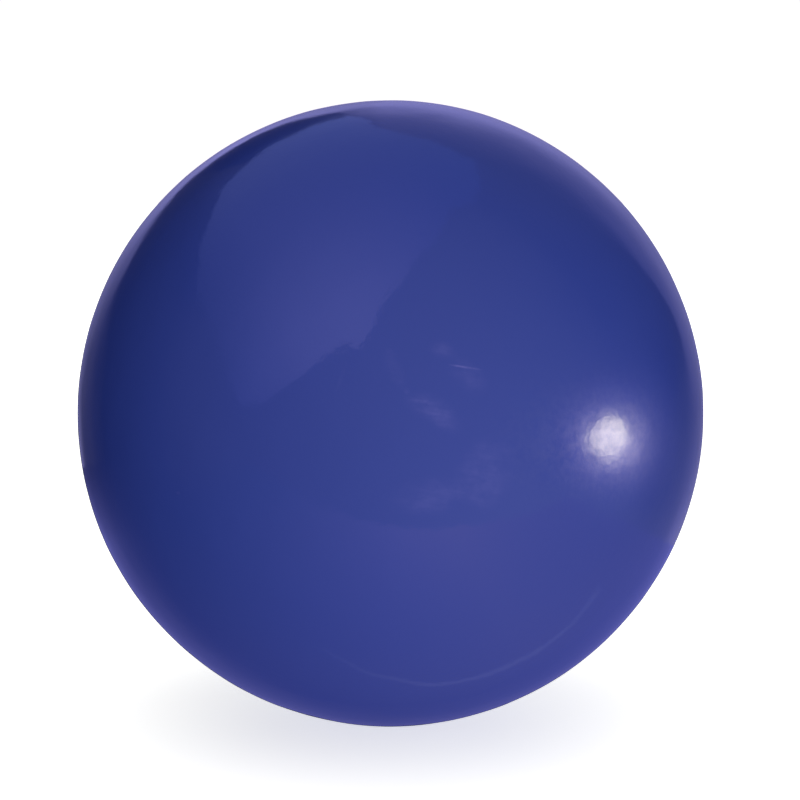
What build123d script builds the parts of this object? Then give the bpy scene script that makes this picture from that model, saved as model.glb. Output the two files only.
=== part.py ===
"""Smooth inflatable dodgeball: four bonded layers round a rubber needle valve.

The origin is the centre of the ball. +Y points out of the valve and +Z is up.
All sizes are in millimetres.
"""

import os
from math import sqrt

from build123d import *

# Wall of the ball, from the outside in
BALL_DIAMETER = 216.0
COVER_WALL = 1.0
PLY_WALL = 0.4
WINDING_WALL = 0.35
BLADDER_WALL = 0.6
BOND_LINE = 0.05  # film of cement between two pieces that are stuck together
COVER_EDGE_RADIUS = 0.4  # rounding of the cover where it stops at the valve

# Reinforcing patch that fills the bare ring the winding leaves round the valve
PATCH_DIAMETER = 44.0

# Valve core, the plug that seals itself when the inflating needle is drawn out
VALVE_RECESS = 0.35  # how far the valve's face lies below the ball's surface
HEAD_DIAMETER = 9.0
HEAD_WALL = 2.0
STEM_DIAMETER = 6.4
STEM_LENGTH = 16.0
NOSE_DIAMETER = 4.6
NOSE_LENGTH = 3.0
GUIDE_DIAMETER = 2.2  # runs with clearance on a 2 mm needle
GUIDE_LENGTH = 8.0
FUNNEL_DIAMETER = 4.0
FUNNEL_DEPTH = 1.2
SLIT_WIDTH = 2.0
SLIT_GAP = 0.15
GROOVE_COUNT = 3
GROOVE_WIDTH = 1.4
GROOVE_DEPTH = 0.4
HEAD_EDGE_RADIUS = 0.35

# Valve housing, the moulded cup that holds the core and is bonded into the bladder
CORE_CLEARANCE = 0.05  # all round the core, so that it can be drawn out
NECK_WALL = 1.6
SLEEVE_WALL = 1.8
FLOOR_WALL = 1.6
NOSE_ROOM = 0.6  # space left below the core's nose
AIR_HOLE_DIAMETER = 2.6
FLANGE_DIAMETER = 34.0
FLANGE_WALL = 1.5
FLANGE_EDGE = 0.5
SLEEVE_ROOT_RADIUS = 1.2
SLEEVE_END_RADIUS = 0.8
NECK_EDGE_RADIUS = 0.35

# Radius of each layer's outer face, worked inwards from the ball's surface
BALL_RADIUS = BALL_DIAMETER / 2
PLY_RADIUS = BALL_RADIUS - COVER_WALL - BOND_LINE
WINDING_RADIUS = PLY_RADIUS - PLY_WALL - BOND_LINE
BLADDER_RADIUS = WINDING_RADIUS - WINDING_WALL - BOND_LINE
FLANGE_RADIUS = BLADDER_RADIUS - BLADDER_WALL - BOND_LINE
VALVE_FACE_RADIUS = BALL_RADIUS - VALVE_RECESS

# Distances from the valve's axis
HEAD_REACH = HEAD_DIAMETER / 2
STEM_REACH = STEM_DIAMETER / 2
NOSE_REACH = NOSE_DIAMETER / 2
GUIDE_REACH = GUIDE_DIAMETER / 2
FUNNEL_REACH = FUNNEL_DIAMETER / 2
SEAT_REACH = HEAD_REACH + CORE_CLEARANCE
BORE_REACH = STEM_REACH + CORE_CLEARANCE
NECK_REACH = SEAT_REACH + NECK_WALL
SLEEVE_REACH = BORE_REACH + SLEEVE_WALL
OPENING_REACH = NECK_REACH + BOND_LINE
PATCH_REACH = PATCH_DIAMETER / 2


def rise(radius, reach):
    """Height along the valve's axis of a sphere about the ball's centre, at a reach from that axis."""
    return sqrt(radius**2 - reach**2)


def on_sphere(radius, reach):
    """Point of the outline on a sphere about the ball's centre, at a reach from the valve's axis."""
    return (reach, rise(radius, reach))


def arc_on_sphere(radius, start_reach, end_reach):
    """Arc of the outline that follows a sphere about the ball's centre, on the valve's side."""
    middle_reach = (start_reach + end_reach) / 2
    return ThreePointArc(
        on_sphere(radius, start_reach),
        on_sphere(radius, middle_reach),
        on_sphere(radius, end_reach),
    )


def spun(*outline, rounded=()):
    """Solid made by spinning a closed outline, drawn in the XY plane, round the valve's axis.

    rounded holds a corner of the outline and the radius that it is rounded to, for each such corner.
    """
    face = make_face(outline)
    for corner, radius in rounded:
        face = fillet(face.vertices().sort_by_distance(corner)[0], radius)
    return revolve(face, Axis.Y)


# Heights along the valve's axis
SEAT_HEIGHT = rise(VALVE_FACE_RADIUS, SEAT_REACH) - HEAD_WALL
NOSE_HEIGHT = SEAT_HEIGHT - STEM_LENGTH
TAPER_HEIGHT = NOSE_HEIGHT + NOSE_LENGTH
FUNNEL_HEIGHT = rise(VALVE_FACE_RADIUS, FUNNEL_REACH) - FUNNEL_DEPTH
GUIDE_HEIGHT = FUNNEL_HEIGHT - GUIDE_LENGTH
FLOOR_HEIGHT = NOSE_HEIGHT - NOSE_ROOM
SLEEVE_HEIGHT = FLOOR_HEIGHT - FLOOR_WALL


def make_layer(outer_radius, wall, opening_reach, edge_radius=0):
    """One hollow sphere of the wall, open round the valve's axis, with its outer edge there rounded over."""
    inner_radius = outer_radius - wall
    outer_edge = on_sphere(outer_radius, opening_reach)
    inner_edge = on_sphere(inner_radius, opening_reach)
    return spun(
        ThreePointArc((0, -outer_radius), (outer_radius, 0), outer_edge),
        Line(outer_edge, inner_edge),
        ThreePointArc(inner_edge, (inner_radius, 0), (0, -inner_radius)),
        Line((0, -inner_radius), (0, -outer_radius)),
        rounded=[(outer_edge, edge_radius)] if edge_radius else [],
    )


def make_valve_patch():
    """Ring of rubberised cloth that lies in the winding's layer, round the valve's neck."""
    inner_radius = WINDING_RADIUS - WINDING_WALL
    return spun(
        arc_on_sphere(WINDING_RADIUS, OPENING_REACH, PATCH_REACH),
        Line(on_sphere(WINDING_RADIUS, PATCH_REACH), on_sphere(inner_radius, PATCH_REACH)),
        arc_on_sphere(inner_radius, PATCH_REACH, OPENING_REACH),
        Line(on_sphere(inner_radius, OPENING_REACH), on_sphere(WINDING_RADIUS, OPENING_REACH)),
    )


def make_valve_housing():
    """Rubber cup: a neck through the wall, a flange inside the bladder and a sleeve with a floor."""
    flange_reach = FLANGE_DIAMETER / 2
    air_reach = AIR_HOLE_DIAMETER / 2
    face_edge = on_sphere(VALVE_FACE_RADIUS, NECK_REACH)
    neck_root = on_sphere(FLANGE_RADIUS, NECK_REACH)
    flange_top = on_sphere(FLANGE_RADIUS, flange_reach)
    flange_bottom = (flange_reach, rise(FLANGE_RADIUS - FLANGE_EDGE, flange_reach))
    sleeve_root = (SLEEVE_REACH, rise(FLANGE_RADIUS - FLANGE_WALL, SLEEVE_REACH))
    sleeve_end = (SLEEVE_REACH, SLEEVE_HEIGHT)
    return spun(
        arc_on_sphere(VALVE_FACE_RADIUS, SEAT_REACH, NECK_REACH),
        Line(face_edge, neck_root),
        arc_on_sphere(FLANGE_RADIUS, NECK_REACH, flange_reach),
        Polyline(
            flange_top,
            flange_bottom,
            sleeve_root,
            sleeve_end,
            (air_reach, SLEEVE_HEIGHT),
            (air_reach, FLOOR_HEIGHT),
            (BORE_REACH, FLOOR_HEIGHT),
            (BORE_REACH, SEAT_HEIGHT),
            (SEAT_REACH, SEAT_HEIGHT),
            on_sphere(VALVE_FACE_RADIUS, SEAT_REACH),
        ),
        rounded=[
            (face_edge, NECK_EDGE_RADIUS),
            (sleeve_root, SLEEVE_ROOT_RADIUS),
            (sleeve_end, SLEEVE_END_RADIUS),
        ],
    )


def make_valve_core():
    """Self-sealing plug: a domed head, a grooved stem and a nose slit for the needle."""
    head_edge = on_sphere(VALVE_FACE_RADIUS, HEAD_REACH)
    plug = spun(
        arc_on_sphere(VALVE_FACE_RADIUS, FUNNEL_REACH, HEAD_REACH),
        Polyline(
            head_edge,
            (HEAD_REACH, SEAT_HEIGHT),
            (STEM_REACH, SEAT_HEIGHT),
            (STEM_REACH, TAPER_HEIGHT),
            (NOSE_REACH, NOSE_HEIGHT),
            (0, NOSE_HEIGHT),
            (0, GUIDE_HEIGHT),
            (GUIDE_REACH, GUIDE_HEIGHT),
            (GUIDE_REACH, FUNNEL_HEIGHT),
            on_sphere(VALVE_FACE_RADIUS, FUNNEL_REACH),
        ),
        rounded=[(head_edge, HEAD_EDGE_RADIUS)],
    )
    groove_pitch = (SEAT_HEIGHT - TAPER_HEIGHT) / (GROOVE_COUNT + 1)
    groove_bottom = STEM_REACH - GROOVE_DEPTH
    for number in range(1, GROOVE_COUNT + 1):
        height = SEAT_HEIGHT - number * groove_pitch
        top, bottom = height + GROOVE_WIDTH / 2, height - GROOVE_WIDTH / 2
        plug -= spun(
            Polyline(
                (groove_bottom, top),
                (HEAD_REACH, top),
                (HEAD_REACH, bottom),
                (groove_bottom, bottom),
                close=True,
            )
        )
    slit_middle = (GUIDE_HEIGHT + NOSE_HEIGHT) / 2
    return plug - Pos(0, slit_middle, 0) * Box(SLIT_GAP, GUIDE_HEIGHT - NOSE_HEIGHT, SLIT_WIDTH)


PIECES = {
    "cover": make_layer(BALL_RADIUS, COVER_WALL, OPENING_REACH, COVER_EDGE_RADIUS),
    "backing_ply": make_layer(PLY_RADIUS, PLY_WALL, OPENING_REACH),
    "nylon_winding": make_layer(WINDING_RADIUS, WINDING_WALL, PATCH_REACH + BOND_LINE),
    "bladder": make_layer(BLADDER_RADIUS, BLADDER_WALL, OPENING_REACH),
    "valve_patch": make_valve_patch(),
    "valve_housing": make_valve_housing(),
    "valve_core": make_valve_core(),
}

os.makedirs("parts", exist_ok=True)
for name, piece in PIECES.items():
    export_step(piece, f"parts/{name}.step")
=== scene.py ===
# %% [markdown]
# # A plain blue dodgeball
# The object is an inflated ball with a smooth, glossy blue skin and nothing printed on it. Its size, its
# layers and its valve come from the construction model, which is loaded first and never moved. Blender
# adds what the eye judges: the skin's faint unevenness, its gloss, a speck, a painted reflection of the
# camera in its colour, and the light of a small photo studio.

import bpy
import numpy as np
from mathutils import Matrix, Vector


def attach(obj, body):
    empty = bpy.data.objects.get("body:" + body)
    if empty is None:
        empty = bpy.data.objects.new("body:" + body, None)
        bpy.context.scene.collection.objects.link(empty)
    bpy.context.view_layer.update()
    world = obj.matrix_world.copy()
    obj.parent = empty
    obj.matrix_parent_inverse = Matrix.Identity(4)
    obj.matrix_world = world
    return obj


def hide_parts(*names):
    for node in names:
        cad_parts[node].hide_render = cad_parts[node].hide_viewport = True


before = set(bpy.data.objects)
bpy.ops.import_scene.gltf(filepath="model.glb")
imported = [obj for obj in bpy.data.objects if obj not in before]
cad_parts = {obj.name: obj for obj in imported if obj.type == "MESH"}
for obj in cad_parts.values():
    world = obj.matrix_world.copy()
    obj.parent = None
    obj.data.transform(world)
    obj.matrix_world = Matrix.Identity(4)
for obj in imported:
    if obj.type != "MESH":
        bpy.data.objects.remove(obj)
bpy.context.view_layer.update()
MM = 0.001  # a millimetre in metres, which Blender counts in
print("pieces in the construction model:", sorted(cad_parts))

# %% [markdown]
# ## Sizes that the looks depend on
# A surface that replaces a piece has to lie where the piece lies. Its sizes could be typed in again, but
# the skin would then be wrong as soon as the ball is made larger. So they are measured on the
# construction model's own points: how far these lie from the ball's centre, and from the valve's axis,
# which is +Y.

# %% Measure the ball


def points_of(node):
    """All the points of a piece of the construction model, one row of x, y and z in metres for each."""
    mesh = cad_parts[node].data
    flat = np.empty(len(mesh.vertices) * 3)
    mesh.vertices.foreach_get("co", flat)
    return flat.reshape(-1, 3)


def shell_sizes(node):
    """Outer radius, inner radius and radius of the opening of one layer of the ball's wall.

    The radii are the largest and the smallest distance from the centre. The opening is the smallest reach
    from the valve's axis, on the valve's side.
    """
    points = points_of(node)
    distance = np.linalg.norm(points, axis=1)
    reach = np.hypot(points[:, 0], points[:, 2])
    return distance.max(), distance.min(), reach[points[:, 1] > 0].min()


ball_radius, cover_inside, valve_opening = shell_sizes("cover")
print(f"ball {2 * ball_radius / MM:.1f} mm across, skin {(ball_radius - cover_inside) / MM:.2f} mm thick")
print(f"opening for the valve {2 * valve_opening / MM:.1f} mm across")

# %% [markdown]
# ## The camera
# The picture shows the ball as a circle, a little left of the middle and a little low. A sphere looks the
# same from everywhere, so the circle's radius gives only the distance for a given lens. The lens could be
# shifted to frame the ball, but the shift would stay in every other view. So the camera is turned until
# the ball's centre falls on its place in the picture.

# %% Distance of the camera
PICTURE_WIDTH = 800
BALL_CENTRE_PIXEL = np.array([390.6, 413.2])
BALL_RADIUS_PIXEL = 313.0
LENS_MM = 100.0
SENSOR_MM = 36.0
CAMERA_ELEVATION = np.radians(8.0)

focal_pixels = LENS_MM / SENSOR_MM * PICTURE_WIDTH
camera_distance = ball_radius / np.sin(np.arctan(BALL_RADIUS_PIXEL / focal_pixels))
camera_place = camera_distance * np.array([0, -np.cos(CAMERA_ELEVATION), np.sin(CAMERA_ELEVATION)])
to_ball = -camera_place / camera_distance
print(f"camera {camera_distance / MM:.0f} mm from the ball's centre")

# %% Camera, turned to frame the ball
NEAREST_SEEN = 0.01

level = np.array([1.0, 0.0, 0.0])
uphill = np.cross(level, to_ball)
off_centre = (PICTURE_WIDTH / 2 - BALL_CENTRE_PIXEL) / focal_pixels
ahead = to_ball + off_centre[0] * level - off_centre[1] * uphill
ahead /= np.linalg.norm(ahead)
right = np.cross(ahead, [0, 0, 1.0])
right /= np.linalg.norm(right)
upright = np.cross(right, ahead)

camera = bpy.data.objects.new("camera", bpy.data.cameras.new("camera"))
camera.data.lens = LENS_MM
camera.data.sensor_width = SENSOR_MM
camera.data.clip_start = NEAREST_SEEN
camera.location = camera_place
camera.rotation_euler = Vector(ahead).to_track_quat("-Z", "Y").to_euler()
bpy.context.scene.collection.objects.link(camera)
bpy.context.scene.camera = camera
print(f"camera turned {np.degrees(np.arccos(ahead @ to_ball)):.2f} degrees off the ball's centre")

# %% [markdown]
# ## From a spot in the picture to the ball and to its mirror image
# A glossy ball is a round mirror. The ray through a pixel meets the skin at one point, and the mirrored
# ray from there points at whatever shows in the gloss. Both could be found by casting rays at the mesh,
# but a line and a sphere give them by a formula, for whole lists of pixels at once. With them, a scuff
# can be put where the picture shows it, and a lamp or a panel can be stood where its mirror image falls
# on the right spot.

# %% Pixel to skin, and pixel to mirrored ray


def seen_on_ball(pixels):
    """Points of the ball at pixels of the picture, and the directions that are mirrored there.

    With the camera at c and a ray along d, the near crossing is at c + t d, where t is -c.d less the root
    of (c.d)^2 - c.c + r^2. The mirrored direction is d - 2 (d.n) n, with n the ball's normal there.
    """
    offset = (np.asarray(pixels, float) - PICTURE_WIDTH / 2) / focal_pixels
    ray = ahead + offset[:, :1] * right - offset[:, 1:] * upright
    ray /= np.linalg.norm(ray, axis=1, keepdims=True)
    outward = ray @ camera_place
    under_root = outward**2 - camera_place @ camera_place + ball_radius**2
    depth = -outward - np.sqrt(np.clip(under_root, 0, None))
    point = camera_place + depth[:, None] * ray
    normal = point / ball_radius
    mirrored = ray - 2 * np.sum(ray * normal, axis=1, keepdims=True) * normal
    return point, mirrored


middle_point = seen_on_ball([BALL_CENTRE_PIXEL])[0][0]
print("middle of the picture's ball, in mm:", (middle_point / MM).round(1))

# %% [markdown]
# ## The skin's shape
# The ball is vulcanised in a two-part mould, so the skin is a sphere with three departures from it. It
# rounds over into the opening for the valve. A thin line stands proud where the mould halves met and was
# buffed down by hand, so that it comes and goes. And the wound layers below print through as dents far
# too shallow to feel, which still bend the edges of anything mirrored in the gloss. A sphere from the Add
# menu has none of these, so the skin is a profile carried round the valve's axis, with the rest added to
# whole arrays.

# %% Cover: profile from pole to pole
OUTER_RINGS = 232
INNER_RINGS = 56
LIP_RINGS = 8
LIP_ROUNDING = 0.4 * MM
MOULD_LINE_RINGS = np.array([0, 0.2, 0.4, 0.7, 1.1, 1.6]) * MM  # on each side of the mould line
MOULD_LINE_ROOM = 1.3  # the even rings keep clear of the mould line by this many times the last of those


def sphere_arc(radius, angles):
    """Reach and height at angles from a sphere's front pole: radius times the sine, and minus the cosine."""
    return radius * np.stack([np.sin(angles), -np.cos(angles)])


def cover_profile():
    """Reach from the valve's axis and height along it, from the front pole round the lip to the inner pole.

    The outer face follows the sphere by its angle from the front pole, with closer rings at the mould line.
    The lip is an arc that touches that sphere and the wall of the opening, so its centre lies one rounding
    inside both. The inner face runs back along the smaller sphere.
    """
    lip_reach = valve_opening + LIP_ROUNDING
    lip_height = np.sqrt((ball_radius - LIP_ROUNDING) ** 2 - lip_reach**2)
    lip_start = np.arctan2(lip_height, lip_reach)
    mould_angles = np.pi / 2 + np.concatenate([-MOULD_LINE_RINGS[:0:-1], MOULD_LINE_RINGS]) / ball_radius
    even_angles = np.linspace(0, np.pi / 2 + lip_start, OUTER_RINGS)
    clear = np.abs(even_angles - np.pi / 2) > MOULD_LINE_ROOM * MOULD_LINE_RINGS[-1] / ball_radius
    outer = np.sort(np.concatenate([even_angles[clear], mould_angles]))
    lip = np.linspace(lip_start, np.pi, LIP_RINGS)[1:]
    inner = np.linspace(np.pi - np.arcsin(valve_opening / cover_inside), 0, INNER_RINGS)
    lip_face = np.array([[lip_reach], [lip_height]]) + LIP_ROUNDING * np.stack([np.cos(lip), np.sin(lip)])
    outer_face = sphere_arc(ball_radius, outer)
    return np.concatenate([outer_face, lip_face, sphere_arc(cover_inside, inner)], axis=1)


reach, height = cover_profile()
print(f"profile of the skin: {len(reach)} rings")

# %% Cover: the profile carried round
ROUND_STEPS = 320


def carry_round(reach, height, steps):
    """Grid of points from a profile carried round +Y: ring i has radius reach[i] and lies at height[i]."""
    turn = np.linspace(0, 2 * np.pi, steps, endpoint=False)
    x = reach[:, None] * np.sin(turn)
    y = np.broadcast_to(height[:, None], x.shape)
    z = reach[:, None] * np.cos(turn)
    return np.stack([x, y, z], axis=-1)


cover_grid = carry_round(reach, height, ROUND_STEPS)
print(f"points of the skin: {len(reach)} rings of {ROUND_STEPS}")

# %% Cover: dents
DENT_SEED = 7
DENT_WAVES = 60
DENT_SHORTEST = 7 * MM
DENT_LONGEST = 45 * MM
DENT_TILT = 0.010  # root mean square slope of the dents, in radians


def dents(points):
    """Height of the skin's unevenness: a sum of plane waves of many lengths in random directions.

    Each wave is as high as its length times the same slope, so short and long waves bend a mirrored edge
    equally. The seed is fixed, so the skin is the same on every run.
    """
    rng = np.random.default_rng(DENT_SEED)
    lengths = np.geomspace(DENT_SHORTEST, DENT_LONGEST, DENT_WAVES)
    across = rng.normal(size=(DENT_WAVES, 3))
    across *= 2 * np.pi / lengths[:, None] / np.linalg.norm(across, axis=1, keepdims=True)
    phases = rng.uniform(0, 2 * np.pi, DENT_WAVES)
    heights = DENT_TILT * np.sqrt(2 / DENT_WAVES) * lengths / (2 * np.pi)
    return np.sin(points @ across.T + phases) @ heights


dent_height = dents(cover_grid.reshape(-1, 3)).reshape(cover_grid.shape[:2])
print(f"dents from {dent_height.min() / MM:.3f} to {dent_height.max() / MM:.3f} mm")

# %% Cover: mould line
MOULD_LINE_HEIGHT = 0.07 * MM
MOULD_LINE_WIDTH = 0.45 * MM
MOULD_LINE_LEFT = 0.65  # share of the line that the buffing leaves, on average
BUFFING_WAVES = [(3, 0.20, 0.4), (7, 0.15, 2.0)]  # waves round the ball, height and phase of each

# The line is a bell across, and a sum of two waves round the ball says how much of it is left
turn = np.arctan2(cover_grid[..., 0], cover_grid[..., 2])
waves_round = (tall * np.sin(count * turn + phase) for count, tall, phase in BUFFING_WAVES)
buffed = sum(waves_round, start=MOULD_LINE_LEFT)
mould_line = MOULD_LINE_HEIGHT * buffed * np.exp(-((cover_grid[..., 1] / MOULD_LINE_WIDTH) ** 2))

# Both lift the outer face alone, and fade out over the rounding of the lip
distance = np.linalg.norm(cover_grid, axis=-1)
outside = np.clip((distance - ball_radius) / LIP_ROUNDING + 1, 0, 1)
lift = outside * (dent_height + mould_line)
cover_grid *= (1 + lift / distance)[..., None]
print(f"skin lifted by {lift.min() / MM:.3f} to {lift.max() / MM:.3f} mm")

# %% [markdown]
# ## Colours and shader nodes
# Colours are given as hex values, which are bent by the sRGB curve, while light adds up in
# linear values, so one function straightens them. A finish is a tree of nodes that hand numbers on to a
# shader. It could be drawn in the node editor, but written down it can be read in order and changed in
# one place. So one function adds a node, sets it, links what comes in and gives back what goes out.

# %% Helpers for colours and nodes


def linear(hex_colour):
    """Linear red, green, blue and alpha of an sRGB hex colour such as 2F46AA.

    Each colour c, as a share of full, becomes ((c + 0.055) / 1.055) to the power of 2.4, and c / 12.92
    where it is very dark.
    """
    bent = np.array([int(hex_colour[i : i + 2], 16) for i in (0, 2, 4)]) / 255
    straight = np.where(bent <= 0.04045, bent / 12.92, ((bent + 0.055) / 1.055) ** 2.4)
    return (*straight.tolist(), 1.0)


def add_node(tree, kind, out=None, **values):
    """Add a shader node to a tree and give back one of its outputs: the one named, or the first in use.

    A name in small letters, such as operation, is a setting of the node. A name with a capital, such as
    Scale or From_Min, is one of its sockets, and so is in0, in1 and so on where names repeat. A value that
    is another node's output is linked to the socket.
    """
    node = tree.nodes.new("ShaderNode" + kind)
    for name, value in values.items():
        numbered = name.startswith("in") and name[2:].isdigit()
        if name[0].islower() and not numbered:
            setattr(node, name, value)
            continue
        socket = node.inputs[int(name[2:]) if numbered else name.replace("_", " ")]
        if isinstance(value, bpy.types.NodeSocket):
            tree.links.new(value, socket)
        else:
            socket.default_value = value
    if out:
        return node.outputs[out]
    return next((socket for socket in node.outputs if socket.enabled), None)


def new_finish(name):
    """A new material and its node tree, with no nodes in it yet."""
    finish = bpy.data.materials.new(name)
    finish.use_nodes = True
    finish.node_tree.nodes.clear()
    return finish, finish.node_tree


print(f"a middle grey, 808080, is {linear('808080')[0]:.3f} in linear light")

# %% [markdown]
# ## The skin's finish
# The blue skin is pigmented rubber that left a polished mould: a dyed body under a clear, almost
# mirror-like surface. One gloss can't show that, because it is either sharp or hazy. So there are two: a
# smooth clear coat gives the sharp mirror images, and below it a slightly rough layer gives the haze
# round the lamp's image. Rubber shrinks a little as it cools, which leaves a peel like an orange's, with
# a finer grain on it. Both bend the gloss by their slope, so they are a bump and not a colour.

# %% Polished blue rubber: peel and grain
PEEL_SIZE = 2.0 * MM
PEEL_DEPTH = 0.030 * MM  # deeper than on the real skin, so that the edges of highlights look speckled
GRAIN_SIZE = 0.8 * MM  # several times coarser than real, because the real grain is finer than a pixel
GRAIN_DEPTH = 0.010 * MM

# What it gives the eye: a deep, even blue, sharp mirror images, and a haze with fine speckles round a light
blue_rubber, tree = new_finish("polished_blue_rubber")
place = add_node(tree, "TexCoord", "Object")
peel = add_node(tree, "TexNoise", Vector=place, Scale=1 / PEEL_SIZE, Detail=2.0)
grain = add_node(tree, "TexNoise", Vector=place, Scale=1 / GRAIN_SIZE, Detail=1.0)
grain_height = add_node(tree, "Math", operation="MULTIPLY", in0=grain, in1=GRAIN_DEPTH)
skin_height = add_node(tree, "Math", operation="MULTIPLY_ADD", in0=peel, in1=PEEL_DEPTH, in2=grain_height)
uneven = add_node(tree, "Bump", Strength=1.0, Distance=1.0, Height=skin_height)
print(f"peel {PEEL_SIZE / MM:.1f} mm wide, grain {GRAIN_SIZE / MM:.1f} mm wide")

# %% [markdown]
# ## A painted reflection, and a speck on the skin
# Near its middle the ball would mirror the camera and someone beside it, with a thin bright glint. That
# mirror image is painted into the skin's colour as pale, soft spots and thin bright lines, which stay on
# their place on the ball. One small spot at the lower left is a real speck. They could be painted in an
# image, but a pattern of nodes needs no file. Each mark is a soft, elongated spot. Its middle and its end
# are pixels of the picture, carried to the skin. Streaks and blotches break the spots up, and where they
# lie, a pale lilac is mixed into the blue: painted reflection, and dust at the speck.

# %% Helpers for marks on the skin
SPOT_FADE = (1.3, 0.1)  # where a spot ends and where it is full, as shares of its half length and width


def stroke_axes(middle_pixel, end_pixel):
    """Middle and half length of a stroke on the skin, and its directions: lengthwise, crosswise, outward.

    Crosswise is square to the other two, and outward is the ball's normal at the middle.
    """
    (middle, end), _ = seen_on_ball([middle_pixel, end_pixel])
    half_length = np.linalg.norm(end - middle)
    lengthwise = (end - middle) / half_length
    outward = middle / ball_radius
    return middle, half_length, (lengthwise, np.cross(outward, lengthwise), outward)


def shares_of(tree, offset, axes, sizes):
    """Vector whose three parts are an offset measured along three axes, each as a share of a size."""
    parts = [
        add_node(tree, "VectorMath", operation="DOT_PRODUCT", in0=offset, in1=tuple(axis / size))
        for axis, size in zip(axes, sizes)
    ]
    return add_node(tree, "CombineXYZ", in0=parts[0], in1=parts[1], in2=parts[2])


def soft_spot(tree, place, middle_pixel, end_pixel, half_width_pixels):
    """Mask on the skin that is 1 in the middle of an elongated spot and fades to 0 at its edge.

    The offset from the middle is split into shares of the half length along the spot, of the half width
    across it and of the half length along the normal; the mask falls with the length of those three.
    """
    middle, half_length, axes = stroke_axes(middle_pixel, end_pixel)
    half_width = half_width_pixels / BALL_RADIUS_PIXEL * ball_radius
    offset = add_node(tree, "VectorMath", operation="SUBTRACT", in0=place, in1=tuple(middle))
    shares = shares_of(tree, offset, axes, (half_length, half_width, half_length))
    away = add_node(tree, "VectorMath", operation="LENGTH", in0=shares)
    edge, full = SPOT_FADE
    return add_node(
        tree, "MapRange", interpolation_type="SMOOTHSTEP",
        Value=away, From_Min=edge, From_Max=full, To_Min=0.0, To_Max=1.0,
    )


print(f"a pixel in the middle of the ball covers {ball_radius / BALL_RADIUS_PIXEL / MM:.2f} mm of skin")

# %% Marks: painted reflection of the camera, and a speck
REFLECTION_AND_SPECK_MARKS = [  # pixel in the middle, pixel at the end of its long half, half its width in pixels, strength
    # painted reflection of the camera and the person beside it: pale smears, and in the rows at 466 and 457
    # its thin bright glint
    ((428, 406), (450, 413), 11, 0.75),
    ((425, 402), (441, 404.5), 2, 0.60),
    ((444, 418), (460, 430), 11, 0.45),
    ((468, 376), (486, 390), 12, 0.55),
    ((443, 350), (457, 354), 8, 0.50),
    ((394, 368), (402, 388), 7, 0.45),
    ((407, 391), (409, 394), 3, 0.50),
    ((485, 474), (501, 440), 25, 0.70),
    ((432, 496), (472, 489), 17, 0.50),
    ((466, 367.2), (481, 369.5), 1.1, 2.0),
    ((457, 365.8), (465, 367), 1.0, 1.5),
    ((341, 378), (346, 364), 2, 0.30),
    # a real speck
    ((178, 493), (180, 493), 1.6, 2.0),
]

# sum of the marks: painted reflection of the camera, and the speck
reflection_and_speck = 0.0
for middle_pixel, end_pixel, half_width, strength in REFLECTION_AND_SPECK_MARKS:
    spot = soft_spot(tree, place, middle_pixel, end_pixel, half_width)
    reflection_and_speck = add_node(tree, "Math", operation="MULTIPLY_ADD", in0=spot, in1=strength, in2=reflection_and_speck)
print(f"{len(REFLECTION_AND_SPECK_MARKS)} marks on the skin")

# %% Marks: streaks, blotches, and the pale colour of the painted reflection and the speck
BLUE = "3148AB"
PALE_REFLECTION_AND_DUST = "A9A2FC"
REFLECTION_AND_DUST_SHARE = 0.093  # how much pale colour a mark of strength 1 mixes into the blue: painted reflection, and dust at the speck
STREAK_PIXELS = ((452, 365), (481, 369.5))  # start and end of the thin bright line, which all the streaks run along
STREAK_LENGTH = 12 * MM
STREAK_WIDTH = 2.6 * MM
BLOTCH_SIZE = 5 * MM

streak_axes = stroke_axes(*STREAK_PIXELS)[2]
along_streaks = shares_of(tree, place, streak_axes, (STREAK_LENGTH, STREAK_WIDTH, STREAK_LENGTH))
streaks = add_node(tree, "TexNoise", Vector=along_streaks, Scale=1.0, Detail=3.0)
streaky = add_node(tree, "MapRange", Value=streaks, From_Min=0.32, From_Max=0.68, To_Min=0.35, To_Max=1.4)
blotches = add_node(tree, "TexNoise", Vector=place, Scale=1 / BLOTCH_SIZE, Detail=3.0)
blotchy = add_node(tree, "MapRange", Value=blotches, From_Min=0.35, From_Max=0.65, To_Min=0.4, To_Max=1.5)
# the painted reflection and the speck, broken into streaks and blotches
rubbed = add_node(tree, "Math", operation="MULTIPLY", in0=reflection_and_speck, in1=streaky)
reflection_and_dust_mask = add_node(tree, "Math", operation="MULTIPLY", in0=rubbed, in1=blotchy)
reflection_and_dust_share = add_node(tree, "Math", operation="MULTIPLY", in0=reflection_and_dust_mask, in1=REFLECTION_AND_DUST_SHARE)
# painted reflection of the camera, and dust at the speck, mixed into the blue
skin_colour = add_node(tree, "Mix", data_type="RGBA", in0=reflection_and_dust_share, in6=linear(BLUE), in7=linear(PALE_REFLECTION_AND_DUST))
print(f"streaks {STREAK_WIDTH / MM:.1f} mm wide, blotches {BLOTCH_SIZE / MM:.0f} mm wide")

# %% [markdown]
# ## Haze round the lamp
# Where hands grip the ball, at the right, its haze is mottled: the glow round the lamp's image comes and
# goes in patches a few millimetres wide. A varying roughness would give patches too, but would also widen
# the glow. So the rough layer's strength varies, by the tint of its gloss, inside one large soft spot
# round the lamp.

# %% Polished blue rubber: mottled haze
HAZE_LEVEL = 0.4
MOTTLE_SIZE = 2.4 * MM
MOTTLE_PIXELS = ((612, 440), (680, 440))
MOTTLE_HALF_WIDTH = 62

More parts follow.
